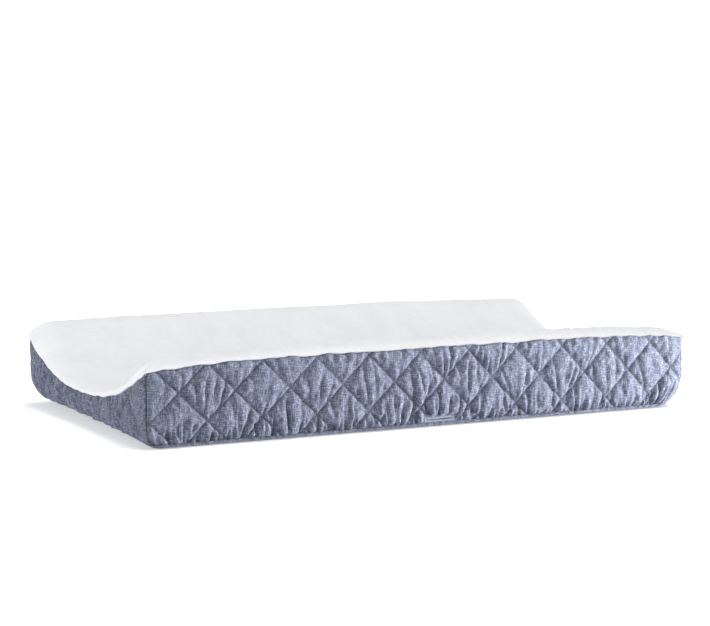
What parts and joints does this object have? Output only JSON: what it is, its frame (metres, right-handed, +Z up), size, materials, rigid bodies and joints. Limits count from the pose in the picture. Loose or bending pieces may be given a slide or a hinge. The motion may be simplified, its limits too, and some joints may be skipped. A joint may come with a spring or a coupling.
{
  "type": "contoured changing pad",
  "caption": "Contoured foam changing pad in a plush-topped cover with diamond-quilted sides, elastic hem, restraint belt and anchor straps.",
  "frame": {"origin": "on the floor, under the middle of the pad", "axes": "+X along the pad's length, +Y across it towards the back, +Z up"},
  "size_m": [0.79, 0.4326, 0.1141],
  "materials": {
    "plush": "soft short-pile plush",
    "chambray": "heathered plain-weave cotton",
    "batting": "lofted polyester wadding",
    "lining": "thin plain-weave lining",
    "stitching_thread": "satin-stitched thread",
    "elastic": "braided elastic",
    "foam": "open-cell polyurethane foam",
    "wipe_clean_sheet": "quilted wipe-clean vinyl",
    "grip_base": "non-slip dotted backing",
    "belt_webbing": "woven polypropylene webbing",
    "buckle_plastic": "moulded acetal",
    "eyelet_brass": "pressed and plated"
  },
  "bodies": {
    "pad": {"back_belt_slit_stitching": "stitching_thread", "back_belt_tab": "belt_webbing", "back_hem": "chambray", "back_panel_batting": "batting", "back_panel_face": "chambray", "back_panel_lining": "lining", "base_panel": "grip_base", "cover_top_panel": "plush", "foam_core": "foam", "front_belt_slit_stitching": "stitching_thread", "front_belt_tab": "belt_webbing", "front_hem": "chambray", "front_panel_batting": "batting", "front_panel_face": "chambray", "front_panel_lining": "lining", "hem_elastic": "elastic", "inner_back_boxing": "wipe_clean_sheet", "inner_front_boxing": "wipe_clean_sheet", "inner_left_boxing": "wipe_clean_sheet", "inner_right_boxing": "wipe_clean_sheet", "inner_top_sheet": "wipe_clean_sheet", "left_anchor_tab": "belt_webbing", "left_hem": "chambray", "left_panel_batting": "batting", "left_panel_face": "chambray", "left_panel_lining": "lining", "right_anchor_tab": "belt_webbing", "right_hem": "chambray", "right_panel_batting": "batting", "right_panel_face": "chambray", "right_panel_lining": "lining"},
    "front_belt": {"front_belt_webbing": "belt_webbing", "buckle_socket": "buckle_plastic"},
    "back_belt": {"back_belt_webbing": "belt_webbing", "buckle_plug": "buckle_plastic"},
    "left_latch_arm": {"buckle_left_arm": "buckle_plastic"},
    "right_latch_arm": {"buckle_right_arm": "buckle_plastic"},
    "left_anchor_strap": {"left_anchor_webbing": "belt_webbing", "left_anchor_eyelet": "eyelet_brass"},
    "right_anchor_strap": {"right_anchor_webbing": "belt_webbing", "right_anchor_eyelet": "eyelet_brass"}
  },
  "joints": [
    {"name": "front_belt_fold_out", "type": "hinge", "parent": "pad", "child": "front_belt", "pos_m": [0.012, -0.15, 0.0057], "axis": [-1, 0, 0], "range_deg": [0, 140]},
    {"name": "back_belt_fold_out", "type": "hinge", "parent": "pad", "child": "back_belt", "pos_m": [0.012, 0.15, 0.0057], "axis": [1, 0, 0], "range_deg": [0, 140]},
    {"name": "left_latch_squeeze", "type": "hinge", "parent": "back_belt", "child": "left_latch_arm", "pos_m": [-0.0035, 0.03, 0.0038], "axis": [0, 0, 1], "range_deg": [0, 7], "stiffness_Nm_per_rad": 1},
    {"name": "right_latch_squeeze", "type": "hinge", "parent": "back_belt", "child": "right_latch_arm", "pos_m": [0.0275, 0.03, 0.0038], "axis": [0, 0, -1], "range_deg": [0, 7], "stiffness_Nm_per_rad": 1},
    {"name": "left_anchor_fold_out", "type": "hinge", "parent": "pad", "child": "left_anchor_strap", "pos_m": [-0.16, 0, 0.0057], "axis": [0, -1, 0], "range_deg": [0, 150]},
    {"name": "right_anchor_fold_out", "type": "hinge", "parent": "pad", "child": "right_anchor_strap", "pos_m": [0.16, 0, 0.0057], "axis": [0, 1, 0], "range_deg": [0, 150]}
  ]
}
